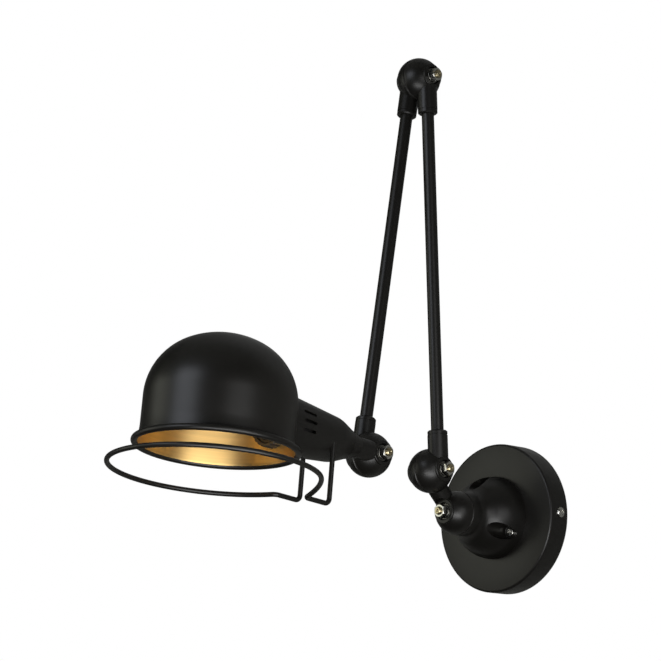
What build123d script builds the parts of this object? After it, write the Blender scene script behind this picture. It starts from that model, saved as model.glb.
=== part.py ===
from build123d import *
import math
import os

# Wall lamp with two folding arms. Millimetres.
# Origin: centre of the wall fixing, on the wall plane. -Y points into the room, +Z up, +X to the right.

# wall plate
plate_radius = 60.0
plate_depth = 20.0
plate_wall = 1.6
plate_edge_round = 1.8
side_screw_depth = 9.0
side_screw_head = 4.1
side_screw_dome = 2.5

# wall bracket
bracket_width = 24.0
bracket_thickness = 2.0
wall_slot_spacing = 70.0
wall_slot_length = 14.0
wall_slot_radius = 2.25
cable_hole_radius = 6.0
plate_hole_radius = 12.0
terminal_height = 43.0

# bell that carries the first pivot
bell_base_radius = 33.3
bell_length = 43.6
bell_dome_height = 34.0
bell_neck_length = 9.0
bell_bolt_seat = 12.0
bell_wall = 3.0
pocket_count = 3
pocket_radius = 5.2
pocket_circle = 26.3
pocket_angle = 31.5
pocket_floor = 5.2

# half-ball knuckles
ball_radius = 17.5
ball_wall = 2.8
seam_gap = 0.8
boss_radius = 10.0
boss_reach = 16.0
recess_radius = 7.2
recess_floor = 13.5
cavity_reach = 10.5
post_radius = 5.5
half_offset = 8.75
socket_radius = 8.0
socket_length = 31.0
socket_groove_at = 27.2
tube_insert = 14.0
wire_hole_radius = 3.4

# arms
tube_radius = 5.0
tube_wall = 1.0
arm_length = 320.0

# pivot hardware
bolt_radius = 3.0
bolt_clearance = 0.05
bolt_reach = 23.2
nut_flats = 10.0
nut_height = 5.0
head_height = 4.0
washer_radius = 6.2
washer_height = 1.2
spring_washer_radius = 5.6
spring_washer_height = 1.6

# swivel neck between the first two pivots
swivel_seam = 64.0
neck_run = 30.5
neck_radius = 8.0
neck_side = 4.0

# pose in which the lamp is drawn, degrees
inner_arm_lean = 1.7
outer_arm_lean = 10.6
head_lean = 6.2

# shade, measured from its rim bead's centre plane
shade_radius = 56.0
shade_flare = 1.2
shade_flare_height = 12.0
shade_wall = 1.0
shade_height = 83.4
crown_radius = 66.0
shoulder_radius = 48.0
bead_circle = 59.1
bead_radius = 2.4
shade_reach = 161.0
shade_drop = 30.8

# lamp housing and lampholder, measured out from the head pivot
neck_end = 24.0
housing_start = 36.0
housing_shoulder = 49.0
housing_end = 126.0
housing_start_radius = 12.4
housing_shoulder_radius = 17.4
housing_slope = 0.108
housing_wall = 1.5
vent_angles = (14.0, -4.0, -22.0)
vent_from = 84.0
vent_to = 98.0
vent_radius = 1.2
holder_back = 74.0
holder_front = 112.0
holder_radius = 16.6
holder_wall = 2.4
thread_bore = 13.3
shell_wall = 0.6
shell_back = 84.0
shell_front = 110.0
contact_hole = 6.5
contact_seat = 80.6
shade_ring_radius = 19.6
shade_ring_front = 113.0

# wire guard
wire_radius = 1.9
guard_radius = 76.7
guard_drop = 17.1
guard_leg_x = 16.0
guard_leg_y = 61.5
guard_leg_top = -7.0
guard_droop_from = 38.0
guard_droop_tilt = 18.0
guard_bend = 4.2
guard_run = 6.0

inner_pivot = Vector(0, -swivel_seam - neck_run, neck_run)
lean_1 = math.radians(inner_arm_lean)
lean_2 = math.radians(outer_arm_lean)
elbow_pivot = inner_pivot + Vector(0, -math.sin(lean_1), math.cos(lean_1)) * arm_length
head_pivot = elbow_pivot + Vector(0, -math.sin(lean_2), -math.cos(lean_2)) * arm_length

swivel_place = Pos(0, -swivel_seam, 0)
inner_place = Pos(*inner_pivot) * Rot(inner_arm_lean, 0, 0)
outer_place = Pos(*elbow_pivot) * Rot(-outer_arm_lean, 0, 0)
head_place = Pos(*head_pivot) * Rot(-head_lean, 0, 0)
toward_minus_x = Rot(0, 0, 180)


def rod_x(radius, x_from, x_to):
    """Cylinder along X between two stations."""
    return Pos((x_from + x_to) / 2, 0, 0) * Rot(0, 90, 0) * Cylinder(radius, abs(x_to - x_from))


def rod_y(radius, y_from, y_to):
    """Cylinder along Y between two stations."""
    return Pos(0, (y_from + y_to) / 2, 0) * Rot(90, 0, 0) * Cylinder(radius, abs(y_to - y_from))


def rod_z(radius, z_from, z_to):
    """Cylinder along Z between two stations."""
    return Pos(0, 0, (z_from + z_to) / 2) * Cylinder(radius, abs(z_to - z_from))


def turned(points, axis=Axis.Z):
    """Solid turned from a closed outline of (radius, station) points."""
    if axis == Axis.Z:
        outline = [(r, 0, s) for r, s in points]
    else:
        outline = [(r, s, 0) for r, s in points]
    return revolve(make_face(Polyline(*outline, close=True)), axis)


def wall_bracket():
    """Strip that screws to the wall, with bent ears for the plate's side screws."""
    ear_x = plate_radius - plate_wall - 2.2
    strip = Pos(0, -bracket_thickness / 2, 0) * Box(2 * ear_x, bracket_thickness, bracket_width)
    for side in (-1, 1):
        ear = Box(bracket_thickness, side_screw_depth + 5, bracket_width / 2)
        strip += Pos(side * (ear_x - bracket_thickness / 2), -(side_screw_depth + 5) / 2, 0) * ear
        slot_face = SlotOverall(wall_slot_length, 2 * wall_slot_radius)
        slot = Rot(90, 0, 0) * extrude(slot_face, bracket_thickness, both=True)
        strip -= Pos(side * wall_slot_spacing / 2, 0, 0) * slot
    strip -= rod_y(cable_hole_radius, -bracket_thickness - 1, 1)
    strip -= Pos(0, -side_screw_depth, 0) * rod_x(1.7, -plate_radius, plate_radius)
    return strip


def wall_plate():
    """Spun cup that covers the wall fixing, open at the back."""
    cup = rod_y(plate_radius, -plate_depth, 0)
    rim = cup.edges().filter_by(GeomType.CIRCLE).sort_by(Axis.Y)[0]
    cup = fillet(rim, plate_edge_round)
    cup -= rod_y(plate_radius - plate_wall, -plate_depth + plate_wall, 1)
    cup -= rod_y(plate_hole_radius, -plate_depth - 1, 0)
    cup -= Pos(0, -side_screw_depth, 0) * rod_x(2.2, -plate_radius - 1, plate_radius + 1)
    for hole in bell_screw_places():
        cup -= hole * rod_y(2.2, -plate_depth - 1, 0)
    return cup


def plate_side_screws():
    """Domed screws through the plate's rim into the bracket's ears."""
    screws = []
    seat = plate_radius
    low = plate_radius - 12
    wide = side_screw_head
    tall = side_screw_dome
    curve = (wide**2 + tall**2) / (2 * tall)
    half = math.asin(wide / curve) / 2
    crown = seat + tall - curve
    half_up = (curve * math.sin(half), 0, crown + curve * math.cos(half))
    outline = [
        Line((0, 0, low), (1.65, 0, low)),
        Line((1.65, 0, low), (1.65, 0, seat)),
        Line((1.65, 0, seat), (wide, 0, seat)),
        ThreePointArc((wide, 0, seat), half_up, (0, 0, seat + tall)),
        Line((0, 0, seat + tall), (0, 0, low)),
    ]
    screw = along_x(outline)
    for turn in (0, 180):
        screws.append(Rot(0, turn, 0) * Pos(0, -side_screw_depth, 0) * screw)
    return Compound(children=screws)


def terminal_block():
    """Two-way supply connector inside the plate."""
    body = Pos(0, -9.5, 0) * Box(20, 10, 16)
    body = fillet(body.edges().filter_by(Axis.Y), 1.5)
    for x in (-5, 5):
        body -= Pos(x, -9.5, 0) * Cylinder(1.7, 20)
        for z in (-4, 4):
            body -= Pos(x, 0, z) * rod_y(1.5, -12, -3)
    foot_length = plate_depth - plate_wall - 14.5
    foot = Pos(0, -14.5 - foot_length / 2, 0) * Box(8, foot_length, 8)
    return Pos(0, 0, terminal_height) * (body + foot)


def bell_screw_places():
    """Stations of the bell's screws round its axis."""
    turns = [pocket_angle + i * 360 / pocket_count for i in range(pocket_count)]
    return [Rot(0, turn, 0) * Pos(pocket_circle, 0, 0) for turn in turns]


def bell_outline(inset):
    """Half section of the bell, drawn in by an even amount."""
    base = bell_base_radius - inset
    neck = ball_radius - inset
    front = bell_length - inset
    shoulder = bell_length - bell_neck_length
    dome = []
    for part in (0, 0.3, 0.58, 0.74):
        dome.append((bell_base_radius * math.sqrt(1 - part**2) - inset, -bell_dome_height * part))
    side = Spline(*dome, (neck + 1.0, -shoulder + 4.0), (neck, -shoulder), tangents=((0, -1), (0, -1)))
    edges = [
        Line((0, 0), (base, 0)),
        side,
        Line((neck, -shoulder), (neck, -front)),
        Line((neck, -front), (0, -front)),
        Line((0, -front), (0, 0)),
    ]
    return make_face(edges)


def base_bell():
    """Cast bell between the plate and the first pivot, with three screw pockets."""
    bell = revolve(bell_outline(0), Axis.Y)
    core = revolve(bell_outline(bell_wall), Axis.Y)
    core -= rod_y(post_radius + 1.5, -bell_length, 1)
    for place in bell_screw_places():
        core -= place * rod_y(pocket_radius + 1.6, -bell_length, 1)
    bell -= core
    bell -= rod_y(bolt_radius + bolt_clearance, -bell_length - 1, 1)
    bell -= rod_y(6.2, -bell_length + bell_bolt_seat, 1)
    bell -= Pos(0, 0, 10) * rod_y(wire_hole_radius - 0.6, -bell_length - 1, -bell_length + bell_wall + 1)
    for place in bell_screw_places():
        bell -= place * rod_y(pocket_radius, -bell_length - 1, -pocket_floor)
        bell -= place * rod_y(2.2, -pocket_floor - 1, 1)
    return Pos(0, -plate_depth, 0) * bell


def bell_screws():
    """Cheese-head screws at the floors of the bell's pockets."""
    screws = []
    head_seat = -plate_depth - pocket_floor
    for place in bell_screw_places():
        head = rod_y(3.5, head_seat - 2.8, head_seat)
        head = fillet(head.edges().filter_by(GeomType.CIRCLE).sort_by(Axis.Y)[0], 0.7)
        shank = rod_y(2.0, head_seat - 0.5, -plate_depth + 7)
        nut = Pos(0, -plate_depth + plate_wall, 0) * Rot(-90, 0, 0) * hex_prism(7.0, 3.2)
        screws.append(place * (head + shank + nut))
    return Compound(children=screws)


def hex_prism(flats, height):
    """Hexagonal prism along +Z from its base, corners eased like a nut's."""
    corner = flats / math.sqrt(3)
    prism = extrude(RegularPolygon(corner, 6), height)
    wide = corner + 0.1
    narrow = corner - 0.5
    points = [(0, 0), (narrow, 0), (wide, 0.6), (wide, height - 0.6), (narrow, height), (0, height)]
    return prism & turned(points)


def along_x(outline):
    """Turned solid of a half section (radius, station), its axis laid along +X."""
    return Rot(0, 90, 0) * revolve(make_face(outline), Axis.Z)


def half_ball_blank():
    """Outside of one half-ball: dome towards +X, flat boss at its pole."""
    low = seam_gap / 2
    high = low + 0.4
    rim = math.sqrt(ball_radius**2 - high**2)
    boss_foot = math.sqrt(ball_radius**2 - boss_radius**2)
    half_way = ball_radius * math.sin(math.radians(30))
    dome_middle = (math.sqrt(ball_radius**2 - half_way**2), 0, half_way)
    ease = 0.8
    bend = ease * (1 - math.sin(math.radians(45)))
    outline = [
        Line((0, 0, low), (rim - 0.4, 0, low)),
        Line((rim - 0.4, 0, low), (rim, 0, high)),
        ThreePointArc((rim, 0, high), dome_middle, (boss_radius, 0, boss_foot)),
        Line((boss_radius, 0, boss_foot), (boss_radius, 0, boss_reach - ease)),
        ThreePointArc(
            (boss_radius, 0, boss_reach - ease),
            (boss_radius - bend, 0, boss_reach - bend),
            (boss_radius - ease, 0, boss_reach),
        ),
        Line((boss_radius - ease, 0, boss_reach), (0, 0, boss_reach)),
        Line((0, 0, boss_reach), (0, 0, low)),
    ]
    return along_x(outline)


def half_ball_cavity():
    """Wiring space round the bolt post of one half-ball."""
    inner = ball_radius - ball_wall
    top = math.sqrt(inner**2 - cavity_reach**2)
    mid = inner * math.sin(math.radians(25))
    outline = [
        Line((post_radius, 0, -2), (inner, 0, -2)),
        Line((inner, 0, -2), (inner, 0, 0)),
        ThreePointArc((inner, 0, 0), (math.sqrt(inner**2 - mid**2), 0, mid), (top, 0, cavity_reach)),
        Line((top, 0, cavity_reach), (post_radius, 0, cavity_reach)),
        Line((post_radius, 0, cavity_reach), (post_radius, 0, -2)),
    ]
    return Rot(15, 0, 0) * along_x(outline)


def half_ball_bore():
    """Bolt hole and hardware recess of one half-ball, clear out to the side."""
    hole = bolt_radius + bolt_clearance
    wide = boss_radius + 0.01
    points = [
        (0, -2),
        (hole, -2),
        (hole, recess_floor),
        (recess_radius, recess_floor),
        (recess_radius, boss_reach),
        (wide, boss_reach),
        (wide, boss_reach + 20),
        (0, boss_reach + 20),
    ]
    return Rot(30, 0, 0) * Rot(0, 90, 0) * turned(points)


def hollowed(casting, place):
    """Casting with one half-ball's cavity and bore taken out."""
    return casting - place * half_ball_cavity() - place * half_ball_bore()


def socket_blank():
    """Stepped tube socket along +Z."""
    r = socket_radius
    g = socket_groove_at
    end = socket_length
    groove = [(r, g), (r - 0.5, g + 0.1), (r - 0.5, g + 0.8), (r - 0.1, g + 0.9)]
    mouth = [(r - 0.1, end - 0.9), (r - 1.0, end), (0, end)]
    return turned([(0, 0), (r, 0)] + groove + mouth)


def arm_half():
    """Half-ball with its tube socket: pole +X, socket +Z."""
    half = hollowed(half_ball_blank() + Pos(half_offset, 0, 0) * socket_blank(), Pos(0, 0, 0))
    half -= Pos(half_offset, 0, 0) * rod_z(tube_radius, socket_length - tube_insert, socket_length + 1)
    half -= Pos(half_offset, 0, 0) * rod_z(wire_hole_radius, ball_radius - ball_wall - 6, socket_length)
    return half


def arm_tube():
    """Arm tube from socket to socket, along +Z from the lower pivot."""
    low = socket_length - tube_insert
    tube = rod_z(tube_radius, low, arm_length - low) - rod_z(tube_radius - tube_wall, low - 1, arm_length)
    return Pos(half_offset, 0, 0) * tube


def swivel_knuckle():
    """Casting with one half-ball turning on the bell and one carrying the inner arm."""
    direction = (inner_pivot - Vector(0, -swivel_seam, 0)).normalized()
    neck_length = neck_run * math.sqrt(2)
    start = Vector(-neck_side, -swivel_seam, 0)
    neck_plane = Plane(origin=start, x_dir=(1, 0, 0), z_dir=direction)
    neck = neck_plane * rod_z(neck_radius, 0, neck_length)
    neck &= Pos(0, -swivel_seam - seam_gap / 2 - 50, 0) * Box(100, 100, 100)
    arm_sweep = Sphere(ball_radius + 0.5) & Pos(50 - seam_gap / 2, 0, 0) * Box(100, 100, 100)
    neck -= Pos(*inner_pivot) * arm_sweep
    front = swivel_place * Rot(0, 0, -90)
    back = Pos(*inner_pivot) * toward_minus_x
    knuckle = front * half_ball_blank() + neck + back * half_ball_blank()
    knuckle = hollowed(hollowed(knuckle, front), back)
    knuckle -= neck_plane * rod_z(wire_hole_radius, 8, neck_length - 8)
    return knuckle


def pivot_bolt(inside):
    """Pivot bolt along X: hexagon head at one end, thread end with a centre dimple at the other."""
    tip = bolt_reach
    r = bolt_radius
    thread_end = [(r, tip - 0.7), (r - 0.7, tip), (1.1, tip), (0, tip - 0.8)]
    shank = Rot(0, 90, 0) * turned([(0, inside), (r, inside)] + thread_end)
    head = Pos(inside, 0, 0) * Rot(0, -90, 0) * hex_prism(nut_flats, head_height)
    return head + shank


def pivot_washer():
    """Plain washer on the recess floor."""
    bore = bolt_radius + 0.2
    return rod_x(washer_radius, recess_floor, recess_floor + washer_height) - rod_x(bore, 0, 30)


def spring_washer():
    """Split spring washer under the nut."""
    low = recess_floor + washer_height
    ring = rod_x(spring_washer_radius, low, low + spring_washer_height) - rod_x(bolt_radius + 0.2, 0, 30)
    split = Pos(low + spring_washer_height / 2, spring_washer_radius - 1, 0) * Rot(0, 0, 25) * Box(4, 4, 0.8)
    return ring - split


def pivot_nut():
    """Hexagon nut at the thread end."""
    low = recess_floor + washer_height + spring_washer_height
    nut = Pos(low, 0, 0) * Rot(0, 90, 0) * hex_prism(nut_flats, nut_height)
    return nut - rod_x(bolt_radius, 0, 40)


def friction_disc():
    """Thin fibre ring that the half-balls clamp, open in the middle for the wiring."""
    return rod_x(ball_radius - 0.5, -seam_gap / 2, seam_gap / 2) - rod_x(ball_radius - 4.0, -2, 2)


def pivot_hardware(place, inside):
    """One pivot's bolt, disc, washers and nut, in place."""
    washers = Compound(children=[place * pivot_washer(), place * spring_washer()])
    return {
        "bolt": place * pivot_bolt(inside),
        "friction_disc": place * friction_disc(),
        "washers": washers,
        "nut": place * pivot_nut(),
    }


def housing_outline(shrink, low):
    """Half section of the housing, (radius, reach) points."""
    end_radius = housing_shoulder_radius + housing_slope * (housing_end - housing_shoulder)
    return [
        (housing_start_radius - shrink, low),
        (housing_shoulder_radius - shrink - 0.6, housing_shoulder - 2.0),
        (housing_shoulder_radius - shrink, housing_shoulder),
        (end_radius - shrink, housing_end),
    ]


def on_head_axis(shape):
    """Turns a Z-axis piece to run out along the head, beside the pivot plane."""
    return Pos(half_offset, 0, 0) * Rot(90, 0, 0) * shape


def shade_body(offset):
    """Closed solid inside the shade's surface, drawn in by an even amount."""
    centre_x = shade_radius - shoulder_radius
    crown_z = shade_height - crown_radius
    shoulder_z = crown_z + math.sqrt((crown_radius - shoulder_radius) ** 2 - centre_x**2)
    turn = math.degrees(math.atan2(shoulder_z - crown_z, centre_x))
    r = shade_radius - offset
    rim = (r + shade_flare, 0, 0)
    with BuildPart() as body:
        with BuildSketch(Plane.XZ):
            with BuildLine():
                Line((0, 0), (r + shade_flare, 0))
                Line((r + shade_flare, 0), (r, shade_flare_height))
                Line((r, shade_flare_height), (r, shoulder_z))
                CenterArc((centre_x, shoulder_z), shoulder_radius - offset, 0, turn)
                CenterArc((0, crown_z), crown_radius - offset, turn, 90 - turn)
                Line((0, shade_height - offset), (0, 0))
            make_face()
        revolve(axis=Axis.Z)
    return Pos(half_offset, -shade_reach, -shade_drop) * body.part


def shade():
    """Spun shade: cylinder under a two-radius dome, beaded rim, hole for the holder."""
    shell = shade_body(0) - shade_body(shade_wall)
    bead = Pos(half_offset, -shade_reach, -shade_drop) * Torus(bead_circle, bead_radius)
    shell += bead
    return shell - on_head_axis(rod_z(holder_radius + 0.1, 90, 120))


def lamp_housing():
    """Tapered sleeve behind the shade, cooling slots on both sides, cut to the shade's curve."""
    outer = housing_outline(0, housing_start)
    inner = housing_outline(housing_wall, housing_start + 3.0)
    sleeve = turned([(0, housing_start)] + outer + [(0, housing_end)])
    sleeve -= turned([(0, housing_start + 3.0)] + inner + [(0, housing_end)])
    sleeve -= rod_z(5.0, housing_start - 1, housing_start + 5)
    slot_face = SlotOverall(vent_to - vent_from, 2 * vent_radius)
    slot = Pos(10, 0, (vent_from + vent_to) / 2) * Rot(0, 90, 0) * extrude(slot_face, 24)
    for angle in vent_angles:
        sleeve -= Rot(0, 0, angle) * slot
        sleeve -= Rot(0, 0, 180 - angle) * slot
    sleeve = on_head_axis(sleeve) - shade_body(0)
    for side in (-1, 1):
        leg_x = half_offset + side * guard_leg_x
        sleeve -= Pos(leg_x, -guard_leg_y, -20) * Cylinder(wire_radius + 0.02, 40)
    return sleeve


def head_joint():
    """Half-ball that carries the head, with its flared neck."""
    throat = half_offset - 0.45
    flare = [(throat, neck_end), (housing_start_radius, housing_start)]
    neck = turned([(0, 0), (throat, 0)] + flare + [(0, housing_start)])
    half = hollowed(half_ball_blank() + on_head_axis(neck), Pos(0, 0, 0))
    half -= on_head_axis(rod_z(5.0, ball_radius + 3, housing_start + 1))
    half -= on_head_axis(rod_z(wire_hole_radius, ball_radius - ball_wall - 6, housing_start))
    return half


def neck_nipple():
    """Hollow threaded tube that joins the neck to the housing."""
    tube = rod_z(5.0, ball_radius + 3, housing_start + 10) - rod_z(wire_hole_radius, 0, 80)
    return on_head_axis(tube)


def nipple_nut():
    """Flat nut inside the housing."""
    nut = Pos(0, 0, housing_start + 3.0) * hex_prism(14.0, 3.0) - rod_z(5.0, 0, 80)
    return on_head_axis(nut)


def lampholder_body():
    """Insulating cup of the screw lampholder."""
    r = holder_radius
    back = [(0, holder_back), (r - 2, holder_back), (r, holder_back + 2)]
    cup = turned(back + [(r, holder_front), (0, holder_front)])
    cup -= rod_z(r - holder_wall, shell_back - 4, holder_front + 1)
    for side in (-1, 1):
        cup -= Pos(side * 7, 0, 0) * rod_z(1.6, holder_back - 1, holder_back + 8)
    return on_head_axis(cup)


def lampholder_shell():
    """Brass screw shell."""
    floor = shell_back + shell_wall
    outside = thread_bore + shell_wall
    inner_foot = [(contact_hole, floor), (thread_bore - 1, floor), (thread_bore, floor + 1)]
    rim = [(thread_bore, shell_front), (outside, shell_front)]
    outer_foot = [(outside, shell_back + 1), (outside - 1, shell_back), (contact_hole, shell_back)]
    return on_head_axis(turned(inner_foot + rim + outer_foot))


def lampholder_contact():
    """Centre contact: riveted disc with a domed button, behind the shell's floor."""
    disc = [(4.5, contact_seat), (4.5, contact_seat + 0.6), (2.2, contact_seat + 0.6)]
    button = [(2.0, contact_seat + 1.6), (1.3, contact_seat + 2.3), (0, contact_seat + 2.6)]
    stem = [(0, shell_back - 4), (2.0, shell_back - 4), (2.0, contact_seat)]
    return on_head_axis(turned(stem + disc + button))


def shade_ring():
    """Ring nut on the lampholder, its back shaped to the inside of the shade."""
    ring = on_head_axis(rod_z(shade_ring_radius, 90, shade_ring_front))
    ring &= shade_body(shade_wall)
    return ring - on_head_axis(rod_z(holder_radius, 80, 130))


def droop_end(start, heading, inward, turn):
    """End point and heading of the ring's drooping stretch after a turn in degrees."""
    tilt = math.radians(guard_droop_tilt)
    lean = inward * math.cos(tilt) + Vector(0, 0, -1) * math.sin(tilt)
    angle = math.radians(turn)
    point = start + lean * guard_radius * (1 - math.cos(angle)) + heading * guard_radius * math.sin(angle)
    return point, heading * math.cos(angle) + lean * math.sin(angle)


def droop_turn_over_leg(start, heading, inward, leg_x):
    """Turn that brings the wire's last corner over its leg, found by halving."""
    low, high = 20.0, 60.0
    for _ in range(40):
        turn = (low + high) / 2
        point, direction = droop_end(start, heading, inward, turn)
        if (point + direction * guard_run).X > leg_x:
            low = turn
        else:
            high = turn
    return turn


def guard_path():
    """Centre line of the wire guard: leg, kink, ring, droop, kink, leg, with rounded bends."""
    ring_z = -shade_drop - guard_drop
    centre = Vector(half_offset, -shade_reach, ring_z)
    left_x = half_offset - guard_leg_x
    right_x = half_offset + guard_leg_x
    from_y = math.degrees(math.asin(guard_leg_x / math.hypot(guard_radius, guard_run)))
    from_y += math.degrees(math.atan(guard_run / guard_radius))
    first = 90 + from_y
    ring_plane = Plane(origin=centre, x_dir=(1, 0, 0), z_dir=(0, 0, 1))
    ring = ring_plane * CenterArc((0, 0), guard_radius, first, 360 + guard_droop_from - first)
    start = ring @ 0
    kink = start - (ring % 0) * guard_run
    left = FilletPolyline(
        (left_x, -guard_leg_y, guard_leg_top),
        (left_x, -guard_leg_y, ring_z),
        kink,
        start,
        radius=guard_bend,
    )
    level = ring @ 1
    heading = ring % 1
    inward = (centre - level).normalized()
    turn = droop_turn_over_leg(level, heading, inward, right_x)
    middle, _ = droop_end(level, heading, inward, turn / 2)
    end, direction = droop_end(level, heading, inward, turn)
    droop = ThreePointArc(level, middle, end)
    last_kink = end + direction * guard_run
    right = FilletPolyline(
        end,
        last_kink,
        (right_x, -guard_leg_y, last_kink.Z),
        (right_x, -guard_leg_y, guard_leg_top),
        radius=guard_bend,
    )
    return Wire([*left.edges(), *ring.edges(), *droop.edges(), *right.edges()])


def wire_guard():
    """Bent wire guard below the rim: two legs from the housing, joined by the ring."""
    path = guard_path()
    section = Plane(origin=path @ 0, z_dir=path % 0) * Circle(wire_radius)
    return sweep(section, path=path)


def build():
    """All pieces by name."""
    front = Rot(0, 0, -90)
    nodes = {
        "wall_bracket": wall_bracket(),
        "wall_plate": wall_plate(),
        "plate_side_screws": plate_side_screws(),
        "terminal_block": terminal_block(),
        "base_bell": base_bell(),
        "bell_screws": bell_screws(),
        "swivel_knuckle": swivel_knuckle(),
        "inner_arm_lower_joint": inner_place * arm_half(),
        "inner_arm_tube": inner_place * arm_tube(),
        "inner_arm_upper_joint": inner_place * Pos(0, 0, arm_length) * Rot(180, 0, 0) * arm_half(),
        "outer_arm_upper_joint": outer_place * Rot(0, 180, 0) * arm_half(),
        "outer_arm_tube": outer_place * Rot(0, 180, 0) * arm_tube(),
        "outer_arm_lower_joint": outer_place * Pos(0, 0, -arm_length) * toward_minus_x * arm_half(),
        "head_joint": head_place * head_joint(),
        "neck_nipple": head_place * neck_nipple(),
        "nipple_nut": head_place * nipple_nut(),
        "lamp_housing": head_place * lamp_housing(),
        "lampholder_body": head_place * lampholder_body(),
        "lampholder_shell": head_place * lampholder_shell(),
        "lampholder_contact": head_place * lampholder_contact(),
        "shade_ring": head_place * shade_ring(),
        "shade": head_place * shade(),
        "wire_guard": head_place * wire_guard(),
    }
    pivots = {
        "swivel": (swivel_place * front, -seam_gap / 2 - bell_bolt_seat),
        "shoulder": (Pos(*inner_pivot), -recess_floor),
        "elbow": (outer_place, -recess_floor),
        "wrist": (head_place, -recess_floor),
    }
    for name, (place, inside) in pivots.items():
        for piece, shape in pivot_hardware(place, inside).items():
            nodes[name + "_" + piece] = shape
    return nodes


os.makedirs("parts", exist_ok=True)
for node_name, node_shape in build().items():
    export_step(node_shape, "parts/" + node_name + ".step")
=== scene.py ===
import math

import bmesh
import bpy
import numpy as np
from mathutils import Matrix, Vector


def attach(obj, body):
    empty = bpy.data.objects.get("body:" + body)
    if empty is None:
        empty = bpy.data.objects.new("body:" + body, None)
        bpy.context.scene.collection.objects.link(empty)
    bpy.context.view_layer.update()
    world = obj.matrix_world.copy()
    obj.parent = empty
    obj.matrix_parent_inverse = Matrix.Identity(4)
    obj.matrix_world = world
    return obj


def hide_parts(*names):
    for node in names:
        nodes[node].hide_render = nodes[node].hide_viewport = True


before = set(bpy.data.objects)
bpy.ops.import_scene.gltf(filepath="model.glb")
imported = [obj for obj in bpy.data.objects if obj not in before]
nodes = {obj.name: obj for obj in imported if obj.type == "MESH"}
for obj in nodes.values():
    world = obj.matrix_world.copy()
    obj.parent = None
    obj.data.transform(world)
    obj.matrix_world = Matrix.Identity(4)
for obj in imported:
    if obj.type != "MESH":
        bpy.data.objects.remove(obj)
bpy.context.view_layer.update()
mm = 0.001
print("lamp: frame loaded,", len(nodes), "nodes")


def meshFrom(name, verts, quads):
    me = bpy.data.meshes.new(name)
    me.vertices.add(len(verts))
    me.vertices.foreach_set("co", np.ascontiguousarray(verts, np.float32).ravel())
    me.loops.add(quads.size)
    me.loops.foreach_set("vertex_index", np.ascontiguousarray(quads, np.int32).ravel())
    me.polygons.add(len(quads))
    me.polygons.foreach_set("loop_start", np.arange(0, quads.size, quads.shape[1], dtype=np.int32))
    me.update(calc_edges=True)
    me.validate(clean_customdata=False)
    return me


def gridCells(points, wrapU=False, wrapV=False):
    # points is rows x columns x 3: each cell becomes one quad, and wrapping joins the last row to the first
    rows, cols = points.shape[:2]
    i = np.arange(rows if wrapU else rows - 1)
    j = np.arange(cols if wrapV else cols - 1)
    ii, jj = np.meshgrid(i, j, indexing="ij")
    a = ii * cols + jj
    b = ((ii + 1) % rows) * cols + jj
    c = ((ii + 1) % rows) * cols + (jj + 1) % cols
    d = ii * cols + (jj + 1) % cols
    return np.stack([a, b, c, d], -1).reshape(-1, 4)


def gridMesh(name, grids):
    # grids of (points, wrapU, wrapV) joined into one mesh; doubled points merge and faces turn outwards
    verts, quads, at = [], [], 0
    for points, wrapU, wrapV in grids:
        verts.append(points.reshape(-1, 3))
        quads.append(gridCells(points, wrapU, wrapV) + at)
        at += verts[-1].shape[0]
    me = meshFrom(name, np.concatenate(verts), np.concatenate(quads))
    bm = bmesh.new()
    bm.from_mesh(me)
    bmesh.ops.remove_doubles(bm, verts=bm.verts, dist=1e-6)
    bmesh.ops.dissolve_degenerate(bm, edges=bm.edges, dist=5e-7)
    bmesh.ops.recalc_face_normals(bm, faces=bm.faces)
    bm.to_mesh(me)
    bm.free()
    return me


def smooth(me, angle):  # smooth shading, with edges over the angle in degrees left sharp
    me.polygons.foreach_set("use_smooth", np.ones(len(me.polygons), bool))
    me.set_sharp_from_angle(angle=math.radians(angle))
    return me


def linkNew(name, data):
    o = bpy.data.objects.new(name, data)
    bpy.context.scene.collection.objects.link(o)
    return o


def addPiece(me, materials, body, slotName, *replaced):  # the object takes its mesh's name
    o = linkNew(me.name, me)
    for m in materials:
        me.materials.append(m)
    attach(o, body)
    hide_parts(*replaced)


def trim(me, tool, operation="DIFFERENCE"):  # exact cut of one closed mesh by another, applied
    made = [linkNew(source.name + "Work", source) for source in (me, tool)]
    cut = made[0].modifiers.new("cut", "BOOLEAN")
    cut.operation, cut.solver, cut.object = operation, "EXACT", made[1]
    bpy.context.view_layer.update()
    evaluated = made[0].evaluated_get(bpy.context.evaluated_depsgraph_get())
    out = bpy.data.meshes.new_from_object(evaluated)
    name = me.name
    for o in made:
        bpy.data.objects.remove(o)
    for used in (me, tool):
        bpy.data.meshes.remove(used)
    out.name = name
    return out


def frameMatrix(origin, xDir, zDir):  # 4 x 4 from an origin, the z direction and a direction near x
    z = Vector(zDir).normalized()
    y = z.cross(Vector(xDir)).normalized()
    m = Matrix((y.cross(z), y, z)).transposed().to_4x4()
    m.translation = Vector(origin)
    return np.array(m)


def place(points, m):
    return points @ m[:3, :3].T + m[:3, 3]


def fullTurn(count):
    return np.linspace(0, 2 * math.pi, count, endpoint=False)[None]


def aroundAxis(r, a, z):  # points at radius r, turn a and height z, spread to one shape
    r, a, z = np.broadcast_arrays(r, a, z)
    return np.stack([r * np.cos(a), r * np.sin(a), z], -1)


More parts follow.
